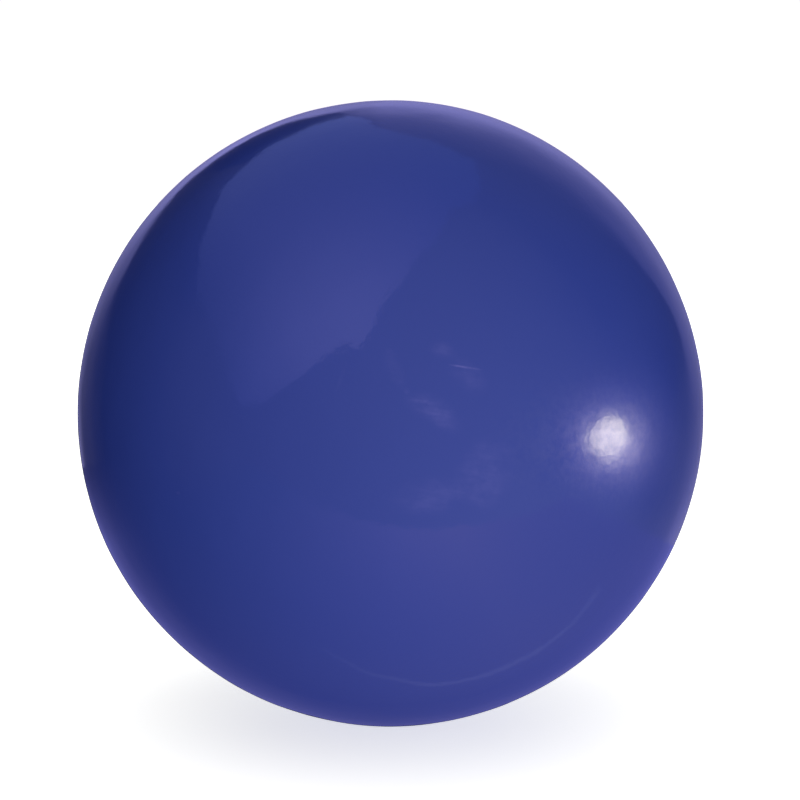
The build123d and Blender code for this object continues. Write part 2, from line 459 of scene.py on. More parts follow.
mottle = add_node(tree, "TexNoise", Vector=place, Scale=1 / MOTTLE_SIZE, Detail=3.0, Roughness=0.6)
mottled = add_node(tree, "MapRange", Value=mottle, From_Min=0.36, From_Max=0.64, To_Min=-0.4, To_Max=0.6)
gripped = soft_spot(tree, place, *MOTTLE_PIXELS, MOTTLE_HALF_WIDTH)
hazy = add_node(tree, "Math", operation="MULTIPLY_ADD", in0=mottled, in1=gripped, in2=HAZE_LEVEL)
print(f"haze in patches {MOTTLE_SIZE / MM:.1f} mm wide")

# %% Polished blue rubber: gloss
# Rubber's IOR is about 1.5. The clear layer bends light less, so the ball mirrors less than glass does.
surface = add_node(
    tree, "BsdfPrincipled",
    Base_Color=skin_colour, Normal=uneven, Roughness=0.30, IOR=1.5,
    Specular_IOR_Level=0.25, Specular_Tint=hazy,
    Coat_Weight=1.0, Coat_Roughness=0.05, Coat_IOR=1.35, Coat_Normal=uneven,
)
add_node(tree, "OutputMaterial", Surface=surface)
print(f"{blue_rubber.name}: {len(tree.nodes)} nodes")

# %% [markdown]
# ## From a grid of points to a skin
# A grid that is wrapped round an axis needs three kinds of faces: quads between the rings, one more
# column of them where the grid closes on itself, and triangles round the two poles. Blender could bridge
# the rings and merge the seam afterwards, but the faces follow from the numbering of the points, so they
# are worked out as arrays. No point is doubled, and the skin is closed from the start.

# %% Cover: mesh


def make_skin(name, grid, finish):
    """Closed mesh over a grid that is wrapped round an axis.

    grid[i, j] is the point on ring i at step j round the axis. All points of the first ring are one point,
    a pole, and so are those of the last. Quads join ring i to ring i + 1, their last column wraps back to
    the first, and triangles join each pole to the ring beside it.
    """
    rings, steps = grid.shape[:2]
    points = np.concatenate([grid[:1, 0], grid[1:-1].reshape(-1, 3), grid[-1:, 0]])
    here = 1 + np.arange(rings - 2)[:, None] * steps + np.arange(steps)
    beside = np.roll(here, -1, axis=1)
    quads = np.stack([here[:-1], beside[:-1], beside[1:], here[1:]], axis=-1).reshape(-1, 4)
    first_pole = np.stack([np.zeros(steps, int), beside[0], here[0]], axis=-1)
    last_pole = np.stack([np.full(steps, len(points) - 1), here[-1], beside[-1]], axis=-1)
    mesh = bpy.data.meshes.new(name)
    mesh.from_pydata(points.tolist(), [], quads.tolist() + first_pole.tolist() + last_pole.tolist())
    mesh.polygons.foreach_set("use_smooth", np.ones(len(mesh.polygons), bool))
    mesh.materials.append(finish)
    mesh.update()
    skin = bpy.data.objects.new(name, mesh)
    bpy.context.scene.collection.objects.link(skin)
    print(f"{name}: {len(points)} points, {2 * len(quads) + 2 * steps} triangles")
    return skin


cover = make_skin("cover_skin", cover_grid, blue_rubber)
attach(cover, "ball")
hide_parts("cover")

# %% [markdown]
# ## The winding's shape
# Under the cover lies one long nylon yarn, wound round the bladder in every direction until it holds its
# shape like a ball of wool. A kilometre of yarn is too much to model, so what counts is what fingers
# would feel: flat bands of yarn, a few millimetres wide, that run round the ball and cross over one
# another. Each band follows the cut of a plane through the ball. The planes are tilted at random, and
# shifted at least so far that no band crosses the bare ring at the valve. Every point takes the height of
# the topmost band over it.

# %% Winding: profile
BAND_RINGS = 188
BAND_INNER_RINGS = 54
BAND_STEPS = 390

winding_radius, winding_inside, winding_opening = shell_sizes("nylon_winding")
winding_wall = winding_radius - winding_inside


def shell_profile(outer_radius, inner_radius, opening, outer_rings, inner_rings):
    """Reach and height of a hollow sphere's outline, from its outer pole to the opening and back inside."""
    outer = np.linspace(0, np.pi - np.arcsin(opening / outer_radius), outer_rings)
    inner = np.linspace(np.pi - np.arcsin(opening / inner_radius), 0, inner_rings)
    return np.concatenate([sphere_arc(outer_radius, outer), sphere_arc(inner_radius, inner)], axis=1)


reach, height = shell_profile(winding_radius, winding_inside, winding_opening, BAND_RINGS, BAND_INNER_RINGS)
winding_grid = carry_round(reach, height, BAND_STEPS)
print(f"winding {winding_wall / MM:.2f} mm thick, bare ring {2 * winding_opening / MM:.1f} mm across")

# %% Winding: bands of yarn laid over one another
BAND_COUNT = 120
BAND_WIDTH = 7 * MM
BAND_SEED = 11
BAND_DRIFT = 0.3  # how far a plane may be shifted besides, as a share of its reach towards the valve
BARE_HEIGHT = 0.10  # heights from here on are shares of the winding's wall
BAND_BASE = 0.20
BAND_ARCH = 0.35
BAND_CLIMB = 0.40  # how much higher the last band lies than the first
VALVE_AXIS = np.array([0.0, 1.0, 0.0])


def lay_bands(points):
    """Height of the topmost band over each point, its place across that band, and that band's own shade.

    A band lies where a point is within half a width of its plane. It is as high across as a flat arch, and
    each later band is laid a little higher than those before it.
    """
    rng = np.random.default_rng(BAND_SEED)
    square_to = rng.normal(size=(BAND_COUNT, 3))
    square_to /= np.linalg.norm(square_to, axis=1, keepdims=True)
    square_to *= np.where(square_to @ VALVE_AXIS < 0, -1, 1)[:, None]
    clear_of_valve = winding_opening + BAND_WIDTH / 2
    at_valve = winding_radius * (square_to @ VALVE_AXIS)
    drift = BAND_DRIFT * rng.uniform(size=BAND_COUNT) * at_valve
    across = points @ square_to.T - (np.minimum(at_valve - clear_of_valve, 0) - drift)
    arch = np.sqrt(np.clip(1 - (across / (BAND_WIDTH / 2)) ** 2, 0, None))
    laid = np.arange(BAND_COUNT) / BAND_COUNT
    band_share = np.where(arch > 0, BAND_BASE + BAND_ARCH * arch + BAND_CLIMB * laid, BARE_HEIGHT)
    heights = band_share * winding_wall
    topmost = heights.argmax(axis=1)[:, None]
    shades = rng.uniform(size=BAND_COUNT)
    top_height = np.take_along_axis(heights, topmost, axis=1)[:, 0]
    return top_height, np.take_along_axis(across, topmost, axis=1)[:, 0], shades[topmost[:, 0]]


outer_face = winding_grid[:BAND_RINGS].reshape(-1, 3)
band_height, across_band, band_shade = lay_bands(outer_face)
outer_face *= ((winding_inside + band_height) / winding_radius)[:, None]
winding_grid[:BAND_RINGS] = outer_face.reshape(BAND_RINGS, BAND_STEPS, 3)
print(f"bands stand {band_height.min() / MM:.2f} to {band_height.max() / MM:.2f} mm off the bladder")

# %% [markdown]
# ## The winding's finish
# Nylon yarn is off-white and slightly silky, and the latex that it is drawn through leaves it patchy and
# amber. The threads run along each band, so their lines can't come from a pattern in space: every point
# carries its place across its own band, and a sine of that draws the threads.

# %% Latex-dipped nylon yarn
YARN = "D8D0BC"
LATEX = "B08E58"
THREAD_SPACING = 1.0 * MM  # three times as wide as real, so that the threads show from a step away
THREAD_DEPTH = 0.06 * MM
LATEX_PATCH = 25 * MM

# What it gives the eye: pale, ridged bands with a soft shine, some of them more amber than others
nylon_yarn, tree = new_finish("latex_dipped_nylon_yarn")
place = add_node(tree, "TexCoord", "Object")
across = add_node(tree, "Attribute", "Fac", attribute_name="across_band")
shade = add_node(tree, "Attribute", "Fac", attribute_name="band_shade")
turns = add_node(tree, "Math", operation="MULTIPLY", in0=across, in1=2 * np.pi / THREAD_SPACING)
thread = add_node(tree, "Math", operation="SINE", in0=turns)
ridged = add_node(tree, "Bump", Strength=1.0, Distance=THREAD_DEPTH, Height=thread)
patches = add_node(tree, "TexNoise", Vector=place, Scale=1 / LATEX_PATCH, Detail=4.0)
dipped = add_node(tree, "Math", operation="MULTIPLY", in0=patches, in1=shade)
yarn_colour = add_node(tree, "Mix", data_type="RGBA", in0=dipped, in6=linear(YARN), in7=linear(LATEX))
surface = add_node(tree, "BsdfPrincipled", Base_Color=yarn_colour, Normal=ridged, Roughness=0.5, IOR=1.53)
add_node(tree, "OutputMaterial", Surface=surface)
print(f"{nylon_yarn.name}: {len(tree.nodes)} nodes")

# %% Winding: mesh, with its place and shade at every point


def paint_points(piece, name, values):
    """Write one number for each point of a piece into its mesh, for its material to read."""
    layer = piece.data.attributes.new(name, "FLOAT", "POINT")
    layer.data.foreach_set("value", values)


winding = make_skin("nylon_winding_bands", winding_grid, nylon_yarn)
last_outer_point = 1 + (BAND_RINGS - 1) * BAND_STEPS  # the mesh has one point for the pole's whole ring
for name, values in (("across_band", across_band), ("band_shade", band_shade)):
    in_mesh_order = np.zeros(len(winding.data.vertices))
    in_mesh_order[1:last_outer_point] = values[BAND_STEPS:]
    paint_points(winding, name, in_mesh_order)
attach(winding, "ball")
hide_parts("nylon_winding")

# %% [markdown]
# ## Plain rubber
# The ply, the bladder and the two halves of the valve are moulded rubber with no paint on it. What tells
# one rubber from another is how even its colour is, how dull it is, and how coarse a grain its mould or
# its rollers left. Four trees of nodes could be drawn, but they would differ in a few numbers only. So
# one function makes all four finishes from real sizes: a broad noise for the bloom, the pale dust that
# rubber sweats out or is powdered with, and a fine one for the grain.

# %% Finish for plain rubber
BLOOM_LEVELS = (0.38, 0.72)  # levels of the noise, which runs from 0 to 1 with most of it near 0.5
DULLED_LEVELS = (0.3, 0.7)
DULLED_LESS = 0.07
DULLED_MORE = 0.1


def rubber_finish(name, colour, bloom, bloom_size, bloom_share, dullness, grain_size, grain_depth):
    """Moulded rubber: a broad noise mixes bloom into the colour and dulls it, and a fine one is its grain.

    Bloom starts at the first level of its noise and has its full share at the second, so that the
    patches between stay clean.
    """
    finish, tree = new_finish(name)
    place = add_node(tree, "TexCoord", "Object")
    patches = add_node(tree, "TexNoise", Vector=place, Scale=1 / bloom_size, Detail=5.0)
    bloomed = add_node(
        tree, "MapRange", Value=patches, From_Min=BLOOM_LEVELS[0], From_Max=BLOOM_LEVELS[1],
        To_Min=0.0, To_Max=bloom_share,
    )
    dulled = add_node(
        tree, "MapRange", Value=patches, From_Min=DULLED_LEVELS[0], From_Max=DULLED_LEVELS[1],
        To_Min=dullness - DULLED_LESS, To_Max=dullness + DULLED_MORE,
    )
    tinted = add_node(tree, "Mix", data_type="RGBA", in0=bloomed, in6=linear(colour), in7=linear(bloom))
    grain = add_node(tree, "TexNoise", Vector=place, Scale=1 / grain_size, Detail=3.0)
    pitted = add_node(tree, "Bump", Strength=1.0, Distance=grain_depth, Height=grain)
    surface = add_node(tree, "BsdfPrincipled", Base_Color=tinted, Roughness=dulled, Normal=pitted, IOR=1.52)
    add_node(tree, "OutputMaterial", Surface=surface)
    return finish


print(f"bloom shows from {BLOOM_LEVELS[0]} and is full at {BLOOM_LEVELS[1]} of its noise")

# %% [markdown]
# ## Ply, bladder and valve
# The backing ply was rolled out and dusted with talc. The bladder is butyl, which is denser. The housing
# is moulded in a dark blue that goes with the cover, in a mould that was blasted to a satin face. The
# core is dull, because a sealing rubber is left unpolished. New surfaces could be laid over all four, but
# their construction shapes are already right, so they only get a finish.

# %% Dress the rubber pieces
# The grain of all four is drawn several times coarser and deeper than it is, so that it shows.
# Each row: piece, finish, colour, bloom, size and share of its patches, roughness, grain's size and depth
RUBBERS = [
    # Matt black, clouded with talc
    ("backing_ply", "calendered_black_rubber", "19191B", "77756F", 30 * MM, 0.30, 0.68, 1.2 * MM, 0.05 * MM),
    # A deeper black with a low shine
    ("bladder", "black_butyl_rubber", "151517", "5F5D58", 45 * MM, 0.18, 0.48, 2.5 * MM, 0.04 * MM),
    # Satin blue, a little paler in patches
    ("valve_housing", "satin_blue_rubber", "1B2C77", "8E93B5", 6 * MM, 0.10, 0.42, 0.5 * MM, 0.012 * MM),
    # Dull black, with next to no highlight
    ("valve_core", "matt_sealing_rubber", "1C1C1E", "8A8884", 4 * MM, 0.12, 0.62, 0.4 * MM, 0.015 * MM),
]


def dress(node, finish):
    """Give a piece of the construction model its finish; its shape stays as it is."""
    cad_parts[node].material_slots[0].material = finish
    print(f"{node} is dressed in {finish.name}")


for piece, *recipe in RUBBERS:
    dress(piece, rubber_finish(*recipe))

# %% [markdown]
# ## The patch
# Round the valve, a ring of cotton cloth that was rubbed full of rubber carries the pull of the winding.
# Its weave is still to be seen. Threads could be modelled one by one, but the patch is a third of a
# millimetre thick, so a bump is enough. In a plain weave the threads of both directions go over and under
# in turn, and the height is the product of two sines, one along each direction, with half a wave for each
# thread.

# %% Rubberised cotton cloth
CLOTH = "4A443A"
RUBBED_IN = "23211F"
CLOTH_THREAD = 0.8 * MM  # about twice as coarse as real, so that the weave shows
CLOTH_DEPTH = 0.12 * MM
RUBBED_PATCH = 5 * MM

# What it gives the eye: a dull, dark weave whose raised threads are browner where less rubber was rubbed in
rubbed_cloth, tree = new_finish("rubberised_cotton_cloth")
place = add_node(tree, "TexCoord", "Object")
phase = add_node(tree, "VectorMath", operation="SCALE", Vector=place, Scale=np.pi / CLOTH_THREAD)
woven = add_node(tree, "VectorMath", operation="SINE", in0=phase)
along_x = add_node(tree, "SeparateXYZ", "X", Vector=woven)
along_z = along_x.node.outputs["Z"]
over_under = add_node(tree, "Math", operation="MULTIPLY", in0=along_x, in1=along_z)
raised = add_node(tree, "MapRange", Value=over_under, From_Min=-1.0, From_Max=1.0, To_Min=0.0, To_Max=1.0)
cloth_bump = add_node(tree, "Bump", Strength=1.0, Distance=CLOTH_DEPTH, Height=raised)
rubbed = add_node(tree, "TexNoise", Vector=place, Scale=1 / RUBBED_PATCH, Detail=3.0)
worn = add_node(tree, "Math", operation="MULTIPLY", in0=raised, in1=rubbed)
cloth_colour = add_node(tree, "Mix", data_type="RGBA", in0=worn, in6=linear(RUBBED_IN), in7=linear(CLOTH))
surface = add_node(
    tree, "BsdfPrincipled", Base_Color=cloth_colour, Normal=cloth_bump, Roughness=0.8, IOR=1.5
)
add_node(tree, "OutputMaterial", Surface=surface)
dress("valve_patch", rubbed_cloth)

# %% [markdown]
# ## The floor
# The ball stands on a sheet of white paper that is there for the camera alone: it takes the ball's soft
# shadow and runs on into the white of the studio, so that no horizon shows. A sheet that curves up behind
# the ball would stand in the way of other views, so it is a large flat disc. Lit paper is never quite as
# white as the studio behind it, so the disc also glows, less under the ball than away from it. The gloss
# doesn't mirror the disc, because a card further on sets what the ball's underside mirrors. Seen from
# below, the disc is clear, so that the underside can be looked at.

# %% White paper
PAPER = "EEF0DD"
SHADOW_START = 0.04  # metres from the middle of the floor
SHADOW_END = 0.17
GLOW_IN_SHADOW = 0.68
STUDIO_WHITE = 1.05

# What it gives the eye: a matt white with no gloss of its own, and a soft shade under the ball, partly the
# shadow that the ball throws and partly painted shade from the weaker glow there
paper_finish, tree = new_finish("white_paper")
place = add_node(tree, "TexCoord", "Object")
flat_place = add_node(tree, "VectorMath", operation="MULTIPLY", in0=place, in1=(1, 1, 0))
away = add_node(tree, "VectorMath", operation="LENGTH", in0=flat_place)
# painted shade: the paper glows less near the ball, which deepens the shadow that it casts
whiten = add_node(
    tree, "MapRange", interpolation_type="SMOOTHSTEP",
    Value=away, From_Min=SHADOW_START, From_Max=SHADOW_END, To_Min=GLOW_IN_SHADOW, To_Max=STUDIO_WHITE,
)
paper_glow = add_node(tree, "Emission", Color=(1, 1, 1, 1), Strength=whiten)
paper = add_node(tree, "BsdfDiffuse", Color=linear(PAPER))
lit_paper = add_node(tree, "AddShader", in0=paper, in1=paper_glow)
from_below = add_node(tree, "NewGeometry", "Backfacing")
clear = add_node(tree, "BsdfTransparent")
one_sided = add_node(tree, "MixShader", in0=from_below, in1=lit_paper, in2=clear)
add_node(tree, "OutputMaterial", Surface=one_sided)
print(f"{paper_finish.name}: {len(tree.nodes)} nodes")

# %% Floor
FLOOR_RADIUS = 4.0
FLOOR_CORNERS = 96


def flat_card(name, points, faces, finish, kept_from):
    """A flat sheet that is part of the stage and not of the ball, kept from some kinds of light rays."""
    mesh = bpy.data.meshes.new(name)
    mesh.from_pydata(np.asarray(points).tolist(), [], np.asarray(faces).tolist())
    mesh.materials.append(finish)
    card = bpy.data.objects.new(name, mesh)
    bpy.context.scene.collection.objects.link(card)
    for rays in kept_from:
        setattr(card, "visible_" + rays, False)
    return card


turn = np.linspace(0, 2 * np.pi, FLOOR_CORNERS, endpoint=False)
rim = FLOOR_RADIUS * np.stack([np.cos(turn), np.sin(turn)], axis=-1)
floor_points = np.insert(rim, 2, -ball_radius, axis=1)
flat_card("floor", floor_points, [range(FLOOR_CORNERS)], paper_finish, ("glossy", "diffuse", "shadow"))
print(f"floor {2 * FLOOR_RADIUS:.0f} m across, {ball_radius / MM:.0f} mm below the ball's centre")

# %% [markdown]
# ## The tent
# A glossy ball shows all that stands round it, so it is photographed in a tent of white cloth that glows
# softly on every side. A picture of a studio could be wrapped round the scene instead, but a few broad
# lights are easier to set. Each has a direction, and its glow falls off as a power of the cosine
# of the angle to it: power 1 lights half of the tent, and a higher power lights less. The camera sees
# plain white instead.

# %% Glow of the tent
TENT_COLOUR = np.array([1.0, 0.96, 1.0])
TENT_LIGHTS = [  # steps to the camera's right, up and towards the camera; power of the cosine; strength
    ((0, 0, 1), 1, 0.63),
    ((1, -1, 1), 2, 0.25),
    ((1, 1, 1), 2, 0.21),
    ((0, 1, 0), 3, 0.14),
    ((0, -1, 0), 3, 0.26),
    ((1, -1, 0), 3, 0.47),
]


def tent_axis(rightwards, upwards, frontwards):
    """Unit direction from the ball, given as steps to the camera's right, up and towards the camera."""
    axis = rightwards * level + upwards * uphill - frontwards * to_ball
    return axis / np.linalg.norm(axis)


def tent_at(pixels):
    """Red, green and blue glow of the tent where a grid of pixels mirrors it.

    It is a sum over the tent's lights: each one's strength times the cosine to a power, never below 0.
    """
    directions = seen_on_ball(pixels.reshape(-1, 2))[1]
    glow = sum(
        strength * np.clip(directions @ tent_axis(*steps), 0, None) ** power
        for steps, power, strength in TENT_LIGHTS
    )
    return glow.reshape(*pixels.shape[:-1], 1) * TENT_COLOUR


print("tent mirrored in the middle of the ball:", tent_at(BALL_CENTRE_PIXEL[None])[0].round(2))

# %% Tent round the scene
world = bpy.data.worlds.new("tent")
bpy.context.scene.world = world
world.use_nodes = True
tree = world.node_tree
tree.nodes.clear()
where = add_node(tree, "TexCoord", "Generated")  # on a world, this is the direction looked in
total = 0.0
for steps, power, strength in TENT_LIGHTS:
    axis = tuple(tent_axis(*steps))
    cosine = add_node(tree, "VectorMath", operation="DOT_PRODUCT", in0=where, in1=axis)
    ahead_of = add_node(tree, "Math", operation="MAXIMUM", in0=cosine, in1=0.0)
    lobe = add_node(tree, "Math", operation="POWER", in0=ahead_of, in1=power)
    total = add_node(tree, "Math", operation="MULTIPLY_ADD", in0=lobe, in1=strength, in2=total)
to_camera = add_node(tree, "LightPath", "Is Camera Ray")
seen = add_node(tree, "Mix", data_type="FLOAT", in0=to_camera, in2=total, in3=STUDIO_WHITE)
cloth_light = add_node(tree, "Background", Color=(*TENT_COLOUR, 1), Strength=seen)
add_node(tree, "OutputWorld", Surface=cloth_light)
bpy.context.scene.view_settings.view_transform = "Standard"
print(f"tent with {len(TENT_LIGHTS)} soft lights")

# %% [markdown]
# ## Cards that show in the gloss
# Photographers shape a gloss with cards: flat sheets, dark or lit, round the object. A card can be pushed
# about until its mirror image looks right, but here it is laid out the other way round. The image is
# drawn in the picture, as a grid of pixels, and each point of the grid is carried along its mirrored ray
# to the plane that the card stands in. Each point has its own glow, so that a card can fade. The cards
# light the gloss alone, since the tent already gives the soft light, and where a card fades out it takes
# on the glow behind it.

# %% Helpers for places on the ball's circle


def on_outline(degrees, share):
    """Pixels at angles round the ball's circle, anticlockwise from the right, and shares of its radius."""
    turn = np.radians(degrees)
    spoke = np.stack([np.cos(turn), -np.sin(turn)], axis=-1)
    return BALL_CENTRE_PIXEL + np.asarray(share)[..., None] * BALL_RADIUS_PIXEL * spoke


def round_the_ball(pixels):
    """Angle in degrees and share of the radius at which pixels lie in the ball's circle."""
    rightwards, downwards = np.moveaxis(pixels - BALL_CENTRE_PIXEL, -1, 0)
    degrees = np.degrees(np.arctan2(-downwards, rightwards)) % 360
    return degrees, np.hypot(rightwards, downwards) / BALL_RADIUS_PIXEL


def along(degrees, knots):
    """Values at angles round the ball, straight between knots; a knot is an angle and the values there."""
    angles, *columns = zip(*knots)
    return [np.interp(degrees, angles, column) for column in columns]


def ramp(value, start, end):
    """0 up to the start, 1 from the end on, and straight between them."""
    return np.clip((value - start) / (end - start), 0, 1)


print("top of the ball in the picture:", on_outline(90, 1.0).round(1))

# %% Helpers for cards


def mirrored_at(pixels, facing, distance):
    """Points mirrored at a grid of pixels, on a plane square to facing, at a distance from the centre.

    A mirrored ray from point p along d meets the plane after a length of (distance - p.f) / d.f.
    """
    facing = np.asarray(facing, float) / np.linalg.norm(facing)
    point, direction = seen_on_ball(pixels.reshape(-1, 2))
    length = (distance - point @ facing) / (direction @ facing)
    return point + length[:, None] * direction


def light_card(name, pixels, glow, facing, distance, wrapped=False):
    """A glowing sheet over a grid of pixels, each with its red, green and blue, for the gloss alone.

    Its faces are the quads between neighbours, and a wrapped sheet also joins its last column to its first.
    """
    rows, columns = pixels.shape[:2]
    index = np.arange(rows * columns).reshape(rows, columns)
    beside = np.roll(index, -1, axis=1)
    last = columns if wrapped else columns - 1
    faces = np.stack([index[:-1], beside[:-1], beside[1:], index[1:]], axis=-1)[:, :last].reshape(-1, 4)
    # What it gives the eye: nothing by itself, only its image in the gloss
    finish, tree = new_finish(name + "_glow")
    paint = add_node(tree, "Attribute", "Color", attribute_name="glow")
    light = add_node(tree, "Emission", Color=paint, Strength=1.0)
    add_node(tree, "OutputMaterial", Surface=light)
    points = mirrored_at(pixels, facing, distance)
    card = flat_card(name, points, faces, finish, ("camera", "shadow", "diffuse"))
    layer = card.data.attributes.new("glow", "FLOAT_COLOR", "POINT")
    opaque = np.ones((rows * columns, 4))
    opaque[:, :3] = np.broadcast_to(glow, (rows, columns, 3)).reshape(-1, 3)
    layer.data.foreach_set("color", opaque.ravel())
    print(f"{name}: {rows} by {columns} points, brightest glow {opaque[:, :3].max():.2f}")


straight_back = mirrored_at(BALL_CENTRE_PIXEL[None], camera_place, camera_distance)[0]
off_camera = np.linalg.norm(straight_back - camera_place)
print(f"the middle of the ball mirrors a point {off_camera / MM:.1f} mm from the camera")

# %% [markdown]
# ## Two drapes
# The tent alone is too plain. At the left, between the panel and the rim, the ball mirrors a faint glow
# where the tent has hardly any, and under the lamp at the right it mirrors something darker than the
# tent. A stronger or a weaker tent would change the light on the skin too, so two drapes hang in it for
# the gloss alone: a pale one at the left that adds to its glow, and a dark one at the right that takes
# some away. Both fade out at their edges.

# %% Drapes
DRAPE_DISTANCE = 2.0  # metres from the ball's centre, as for every card
DRAPE_ROWS = 24
DRAPE_COLUMNS = 36
DRAPES = {  # glow added to the tent, levels by share of the radius, levels by angle, side that it hangs on
    "pale_drape": (
        np.array([0.11, 0.11, 0.11]),
        [(0.48, 0.0), (0.60, 0.7), (0.72, 1.0), (0.85, 0.3), (0.93, 0.0)],
        [(130, 0.0), (155, 1.0), (192, 1.0), (225, 0.0)],
        (-1, 0, 0),
    ),
    "dark_drape": (
        np.array([-0.17, -0.18, -0.22]),
        [(0.48, 0.0), (0.62, 1.0), (0.88, 1.0), (0.95, 0.0)],
        [(-40, 0.0), (-25, 0.8), (-18, 1.0), (-8, 0.75), (2, 0.5), (12, 0.25), (20, 0.0)],
        (1, 0, 0),
    ),
}


def behind(pixels):
    """Glow of the tent and its drapes where a grid of pixels mirrors them: the sum of all, at least 0."""
    glow = tent_at(pixels)
    turn, share = round_the_ball(pixels)
    for added, across, around, _ in DRAPES.values():
        first_angle = around[0][0]
        turn_from_first = first_angle + (turn - first_angle) % 360
        drape_level = along(share, across)[0] * along(turn_from_first, around)[0]
        glow = glow + drape_level[..., None] * added
    return np.clip(glow, 0, None)


for name, (_, across, around, side) in DRAPES.items():
    drape_turn = np.linspace(around[0][0], around[-1][0], DRAPE_COLUMNS)
    drape_share = np.linspace(across[0][0], across[-1][0], DRAPE_ROWS)[:, None]
    drape_pixels = on_outline(drape_turn, drape_share)
    light_card(name, drape_pixels, behind(drape_pixels), side, DRAPE_DISTANCE)

# %% [markdown]
# ## The overhead panel
# The large pale shape at the upper left of the ball is a light panel over it. A plain rectangle would
# mirror with smooth edges, but this one's near edge has small steps where the skin is dented. So both of
# its edges are drawn in the picture, and rows of pixels run from one to the other. It is brightest near
# the corner that points at the middle of the ball. Its left side fades into the tent, and along the top
# it picks up some of the wall behind.

# %% Overhead panel: outline
PANEL_NEAR_EDGE = [
    (243, 405), (264, 402), (281, 387), (306, 372), (327, 357), (348, 346), (357, 349), (366, 341),
    (372, 328), (383, 307), (388, 297), (403, 285), (412, 265), (433, 242), (454, 208), (475, 199),
    (481, 185),
]
PANEL_FAR_EDGE = [
    (225, 375), (201, 311), (197, 280), (200, 250), (207, 220), (222, 189), (243, 168), (268, 145),
    (306, 128), (348, 115), (400, 117), (436, 126), (456, 138), (474, 160),
]
PANEL_ROWS = 12
PANEL_COLUMNS = 60


def resampled(corners, count):
    """Points spaced evenly along a line through corners."""
    corners = np.asarray(corners, float)
    travelled = np.concatenate([[0], np.cumsum(np.linalg.norm(np.diff(corners, axis=0), axis=1))])
    wanted = np.linspace(0, travelled[-1], count)
    return np.stack([np.interp(wanted, travelled, corners[:, k]) for k in (0, 1)], axis=-1)


def between(first_line, last_line, rows):
    """Grid of pixels that runs in even steps from one line to another."""
    share = np.linspace(0, 1, rows)[:, None, None]
    return (1 - share) * first_line + share * last_line


near_edge = resampled(PANEL_NEAR_EDGE, PANEL_COLUMNS)
far_edge = resampled(PANEL_FAR_EDGE, PANEL_COLUMNS)
panel_pixels = between(near_edge, far_edge, PANEL_ROWS)
print(f"panel's near edge runs from {near_edge[0]} to {near_edge[-1]} in the picture")

# %% Overhead panel: glow
PANEL_CORNER = np.array([362, 340])
PANEL_FADE_PIXELS = 125
PANEL_CORNER_GLOW = np.array([1.26, 1.07, 1.50])
PANEL_EVEN_GLOW = np.array([0.12, 0.18, 0.57])
PANEL_CREST_GLOW = np.array([0.13, 0.10, 0.22])
PANEL_LOST_ROWS = (230, 330)  # pixel rows from which and to which the left side fades into the tent
PANEL_CREST_SHARES = (0.90, 0.95)
PANEL_CREST_DEGREES = (100, 90)
PANEL_FACING = (-0.6, -0.3, 0.75)
PANEL_DISTANCE = 0.9

from_corner = np.linalg.norm(panel_pixels - PANEL_CORNER, axis=-1, keepdims=True)
panel_glow = PANEL_CORNER_GLOW * np.exp(-((from_corner / PANEL_FADE_PIXELS) ** 2)) + PANEL_EVEN_GLOW
towards_far_edge = np.linspace(0, 1, PANEL_ROWS)[:, None, None]
lost = towards_far_edge**2 * ramp(panel_pixels[..., 1:], *PANEL_LOST_ROWS)
panel_glow = (1 - lost) * panel_glow + lost * behind(panel_pixels)
panel_turn, panel_share = round_the_ball(panel_pixels)
crest = ramp(panel_share, *PANEL_CREST_SHARES) * ramp(panel_turn, *PANEL_CREST_DEGREES)
panel_glow += crest[..., None] * PANEL_CREST_GLOW
light_card("overhead_panel", panel_pixels, panel_glow, PANEL_FACING, PANEL_DISTANCE)

# %% [markdown]
# ## The side lamp
# The bright spot at the right is a round lamp. A plain disc would give a hard, even spot, but a lamp on a
# polished, handled skin is a hot core in a softer skirt in a wide faint haze, each a little off the last.
# So the card holds three round glows. The core is two discs, one below and to the left of the other,
# because the real one is longer than it is wide.

# %% Side lamp
LAMP_PIXEL = np.array([611.5, 432.5])
LAMP_LOW_PIXEL = np.array([603.5, 441])
LAMP_SKIRT_PIXEL = np.array([614, 441])
LAMP_HAZE_PIXEL = np.array([605, 440])
LAMP_INNER_PIXELS = 0.5  # radius of the tiny hole in the card's middle
LAMP_CORE_PIXELS = 16.5
LAMP_SKIRT_PIXELS = 23
LAMP_HAZE_PIXELS = 31.5
LAMP_EDGE_PIXELS = 75
LAMP_LOW_LEVEL = 0.95
LAMP_CORE_GLOW = np.array([11.5, 10.6, 6.6])
LAMP_SKIRT_GLOW = np.array([3.6, 3.2, 3.4])
LAMP_HAZE_GLOW = np.array([2.6, 1.9, 3.7])
LAMP_RINGS = 38
LAMP_STEPS = 48
LAMP_DISTANCE = 1.1


def soft_disc(pixels, middle, radius, crispness):
    """1 inside a disc and 0 outside: 1 / (1 + (distance / radius) to the power of the crispness)."""
    away = np.linalg.norm(pixels - middle, axis=-1, keepdims=True)
    return 1 / (1 + (away / radius) ** crispness)


